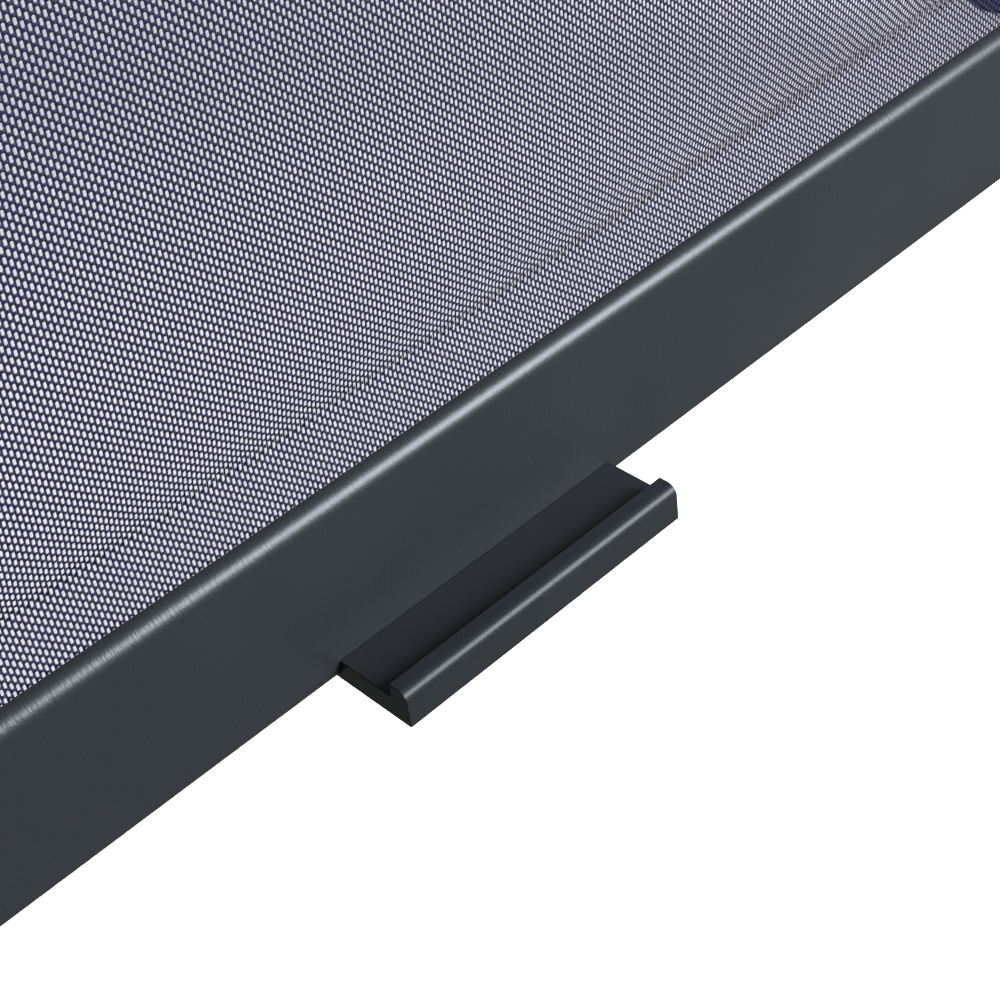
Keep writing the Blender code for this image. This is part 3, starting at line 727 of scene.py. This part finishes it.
def foot_bar(side):
    """One foot bar with its two bolt recesses in the underside."""
    low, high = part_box(side + "_foot")
    outline = round_ended(low, high)
    bm = bmesh.new()
    rings = [[bm.verts.new((x, y, z)) for x, y in outline] for z in (low.z, high.z)]
    for i in range(len(outline)):
        j = (i + 1) % len(outline)
        bm.faces.new((rings[0][i], rings[0][j], rings[1][j], rings[1][i]))
    bm.faces.new(rings[0])
    bm.faces.new(rings[1])
    foot = linked(side + "_foot_bar", bm)
    bm = bmesh.new()
    for dx in (-BOLT_SPREAD, BOLT_SPREAD):
        base = ((low.x + high.x) / 2 + dx, BOLT_Y, low.z - BOLT_RECESS)
        radius = BOLT_HEAD_RADIUS + SLIP
        turned(bm, base, (0, 0, 1), [(0, radius), (2 * BOLT_RECESS, radius)], 40)
    cut(foot, bm)
    finished(foot, COAT, FOOT_EDGE, "powder_coat", side + "_foot", steps=3)


def socket_bolt(nodes):
    """A button-head bolt with a hexagon socket, head down at the origin."""
    low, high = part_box(nodes[0])
    length = high.z - low.z
    radius = (high.x - low.x) / 2
    shank = radius * 0.6 if radius > 4.5 * MM else radius * 0.525
    head = 4 * MM if radius > 4.5 * MM else 2.4 * MM
    outline = []
    for step in range(7):
        angle = math.radians(12 * step)
        outline.append((head * 0.75 * (1 - math.sin(angle)), radius * math.cos(angle)))
    outline = outline[::-1] + [(head, radius), (head, shank), (length, shank)]
    bm = bmesh.new()
    turned(bm, (0, 0, 0), (0, 0, 1), outline, 32)
    bolt = linked("socket_bolt", bm)
    bm = bmesh.new()
    turned(bm, (0, 0, -head), (0, 0, 1), [(0, radius * 0.45), (head * 1.65, radius * 0.45)], 6)
    cut(bolt, bm)
    return bolt


def bolt_places(nodes):
    """The lowest point on each bolt's axis."""
    places = []
    for node in nodes:
        low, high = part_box(node)
        places.append(Vector(((low.x + high.x) / 2, (low.y + high.y) / 2, low.z)))
    return places


for side in ("left", "right"):
    foot_bar(side)
    dressed(side + "_foot_spacer", side + "_foot_block", COAT, BLOCK_EDGE, "powder_coat")
    nut_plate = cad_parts[side + "_nut_plate"]
    nut_plate.data.materials.clear()
    nut_plate.data.materials.append(ZINC)

foot_bolts = [f"{side}_foot_bolt_{number}" for side in ("left", "right") for number in (1, 2)]
handle_screws = ["handle_screw_1", "handle_screw_2"]
for name, nodes in (("foot_socket_bolts", foot_bolts), ("handle_socket_screws", handle_screws)):
    seated(name, socket_bolt(nodes), bolt_places(nodes), (0, 0, 1), nodes)

# ---------------------------------------------------------------------------------------------
# Foot pads. Moulded black rubber discs under the ends of the foot bars, with a groove round the
# side and a slightly dusty skin.


def pad_rubber():
    """Matte black rubber with a fine moulded texture and a little dust."""
    material, shader, place = new_finish("pad_rubber", Specular_IOR_Level=0.3)
    dust = place.noise(220, 4, 0.6)
    skin = place.noise(1500, 2)
    colour = dust.ramp(0.45, 0.8).between((0.010, 0.010, 0.010, 1), (0.045, 0.043, 0.040, 1))
    feed(shader, Base_Color=colour, Roughness=0.7 + 0.2 * dust, Normal=skin.bump(0.3, 0.05 * MM))
    return material


RUBBER = pad_rubber()
for side in ("left", "right"):
    for end in ("front", "rear"):
        node = f"{side}_foot_pad_{end}"
        low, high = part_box(node)
        radius, tall = (high.x - low.x) / 2, high.z - low.z
        bm = bmesh.new()
        outline = [(0, radius * 0.93), (0.1 * tall, radius * 0.985), (0.2 * tall, radius)]
        outline += [(0.45 * tall, radius), (0.5 * tall, radius * 0.955), (0.62 * tall, radius * 0.955)]
        outline += [(0.67 * tall, radius), (0.92 * tall, radius), (tall, radius * 0.98)]
        turned(bm, ((low.x + high.x) / 2, (low.y + high.y) / 2, low.z), (0, 0, 1), outline, 56)
        finished(linked(node + "_disc", bm), RUBBER, 0, "rubber", node)

# ---------------------------------------------------------------------------------------------
# The room. A white floor with a painted shade behind the screen, grey that darkens further back, a
# little white light from all round, a soft key from the front right, and a rear fill. The camera is
# close over the bottom rail and looks down along it.

EYE = Vector((-0.2178, -0.2879, 0.3466))
HEADING = 39.19  # degrees from straight ahead, towards the right
DIP = 40.24
ROLL = 8.33
LENS = 69.6
KEY_TOWARDS = Vector((0.483, -0.757, 0.440))
KEY_POWER = 210
KEY_COLOUR = (0.95, 1.0, 1.09)
FILL_TOWARDS = Vector((-0.45, 0.80, 0.40))
FILL_POWER = 90
LIGHT_DISTANCE = 2.6
LIGHT_SIZE = 1.5
WASH = 1.6
SKY = 0.22


def aim(obj, towards):
    """Turns a lamp to shine along a direction."""
    obj.rotation_mode = "QUATERNION"
    obj.rotation_quaternion = towards.to_track_quat("-Z", "Y")


def soft_box(name, place, target, power, colour):
    """A round soft lamp at a place, turned to its target."""
    light = bpy.data.lights.new(name, "AREA")
    light.shape = "DISK"
    light.size = LIGHT_SIZE
    light.energy = power
    light.color = colour
    obj = bpy.data.objects.new(name, light)
    obj.location = place
    aim(obj, Vector(target) - Vector(place))
    bpy.context.scene.collection.objects.link(obj)


bm = bmesh.new()
bmesh.ops.create_grid(bm, x_segments=1, y_segments=1, size=6)
floor = linked("pale_floor", bm)
floor_material, floor_shader, floor_place = new_finish("pale_floor", Roughness=0.75)
speckle = floor_place.noise(90, 3)
# painted shade: from 3 cm behind the screen the floor's colour turns grey, darker further back
depth_behind_screen = floor_place.axis("Y")
room_floor = speckle.between((0.86, 0.86, 0.86, 1), (0.9, 0.9, 0.9, 1))
painted_floor_shade = depth_behind_screen.ramp(0.08, 0.40).between((0.36, 0.36, 0.365, 1), (0.23, 0.23, 0.235, 1))
feed(floor_shader, Base_Color=depth_behind_screen.ramp(0.03, 0.08).between(room_floor, painted_floor_shade))
floor.data.materials.append(floor_material)
floor.visible_glossy = False  # so that the screen is lit and mirrored by the room alone
floor.visible_diffuse = False
floor_only = bpy.data.collections.new("floor_only")
floor_only.objects.link(floor)

world = bpy.data.worlds.new("white_room")
bpy.context.scene.world = world
world.use_nodes = True
world.node_tree.nodes["Background"].inputs["Color"].default_value = (1, 1, 1, 1)
world.node_tree.nodes["Background"].inputs["Strength"].default_value = SKY

handle_middle = Vector((0, FACE_Y, RAIL_Z + FACE_WIDTH / 2))
key_place = handle_middle + KEY_TOWARDS.normalized() * LIGHT_DISTANCE
soft_box("key", key_place, handle_middle, KEY_POWER, KEY_COLOUR)
middle = Vector((0, 0, MID_Z))
soft_box("rear_fill", middle + FILL_TOWARDS.normalized() * LIGHT_DISTANCE, middle, FILL_POWER, (1, 1, 1))

# the wash lights the floor and nothing else, so that it stays even on both sides of the screen
wash = bpy.data.lights.new("floor_wash", "SUN")
wash.energy = WASH
wash_lamp = bpy.data.objects.new("floor_wash", wash)
wash_lamp.light_linking.receiver_collection = floor_only
wash_lamp.light_linking.blocker_collection = floor_only
bpy.context.scene.collection.objects.link(wash_lamp)

camera = bpy.data.objects.new("camera", bpy.data.cameras.new("camera"))
bpy.context.scene.collection.objects.link(camera)
camera.data.lens = LENS
camera.data.sensor_width = 36
camera.data.clip_start = 0.01
heading, dip = math.radians(HEADING), math.radians(DIP)
look = Vector((math.sin(heading) * math.cos(dip), math.cos(heading) * math.cos(dip), -math.sin(dip)))
level = look.cross(Vector((0, 0, 1))).normalized()
right = Matrix.Rotation(math.radians(ROLL), 3, look) @ level
up = right.cross(look)
camera.matrix_world = Matrix.Translation(EYE) @ Matrix((right, up, -look)).transposed().to_4x4()
bpy.context.scene.camera = camera
bpy.context.scene.view_settings.view_transform = "Standard"
